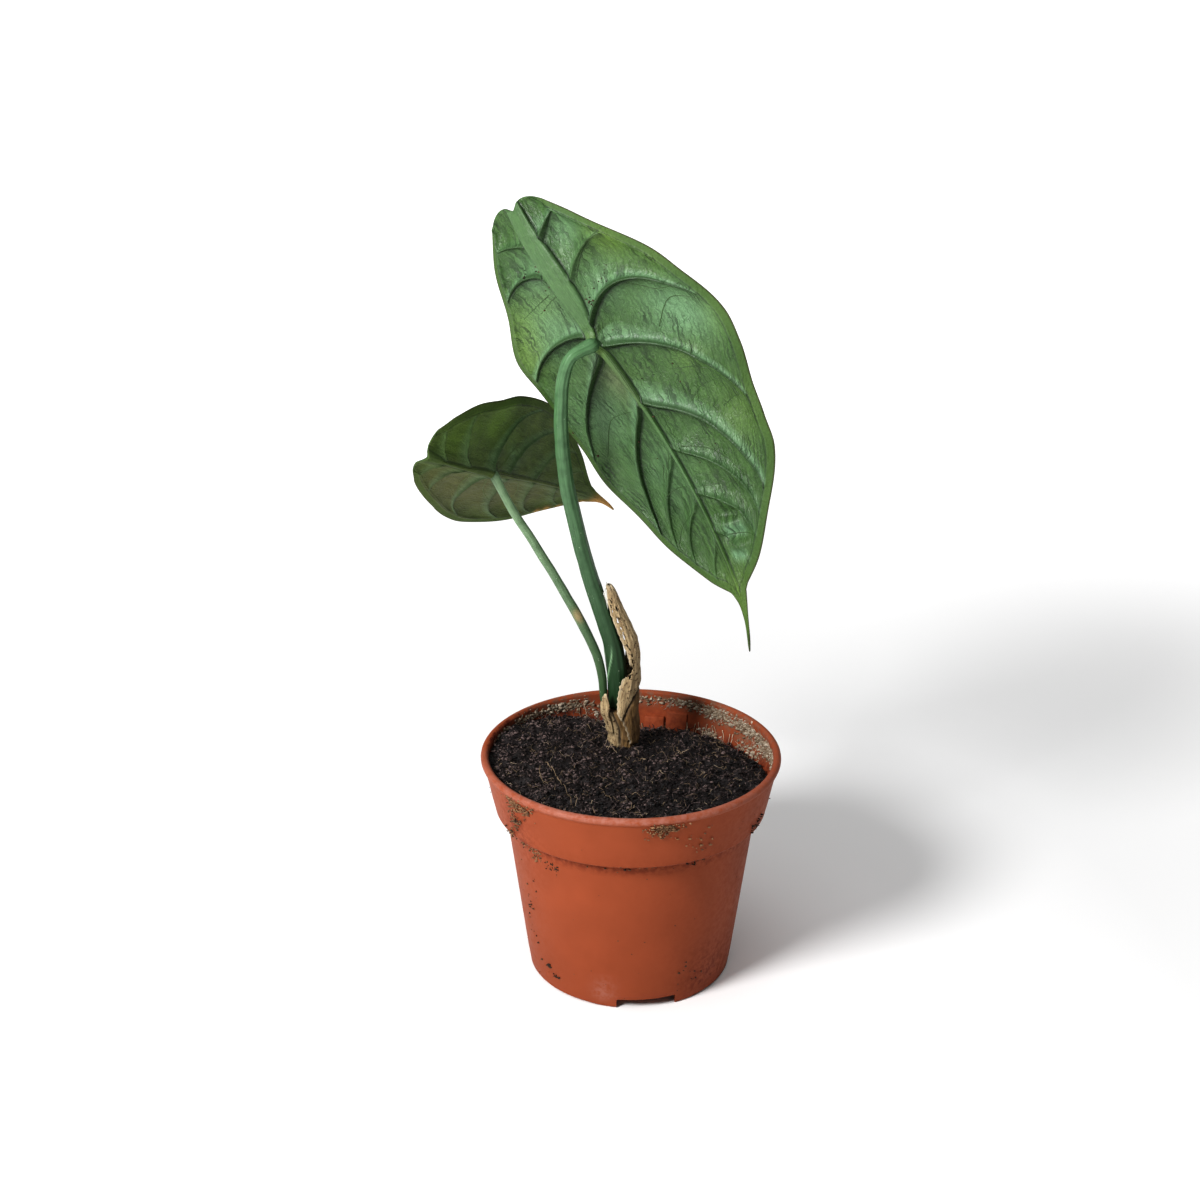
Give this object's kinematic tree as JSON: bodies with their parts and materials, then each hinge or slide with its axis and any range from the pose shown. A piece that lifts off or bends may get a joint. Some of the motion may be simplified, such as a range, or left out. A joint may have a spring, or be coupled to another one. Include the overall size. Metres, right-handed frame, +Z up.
{
  "type": "potted alocasia puncakborneensis",
  "caption": "Small potted aroid house plant: peltate leaves with raised veins and drip tips on slender stalks, a papery neck and dark soil in a round nursery pot.",
  "frame": {"origin": "middle of the whole plant's footprint box, on the plane that the pot's foot rests on; the pot's own axis stands 9.6 mm towards +X and 14.3 mm towards -Y from it", "axes": "+Z up, the pot's axis is parallel to it; the leaves' undersides and the cupped front of the pot's soil face -Y"},
  "size_m": [0.124, 0.1334, 0.2704],
  "materials": {
    "pot_plastic": "injection-moulded, satin",
    "peat": "crumbly, matt",
    "papery_neck": "dry and fibrous",
    "stalk_green": "smooth, satin",
    "leaf_green": "satin with a silvery sheen",
    "leaf_olive": "satin",
    "dry_sheath": "dry, papery"
  },
  "bodies": {
    "root": {"pot": "pot_plastic", "soil": "peat", "corm": "papery_neck", "petiole_large": "stalk_green", "petiole_small": "stalk_green", "blade_large": "leaf_green", "blade_small": "leaf_olive", "dried_sheath": "dry_sheath", "sheath_scrap": "dry_sheath"}
  },
  "joints": []
}
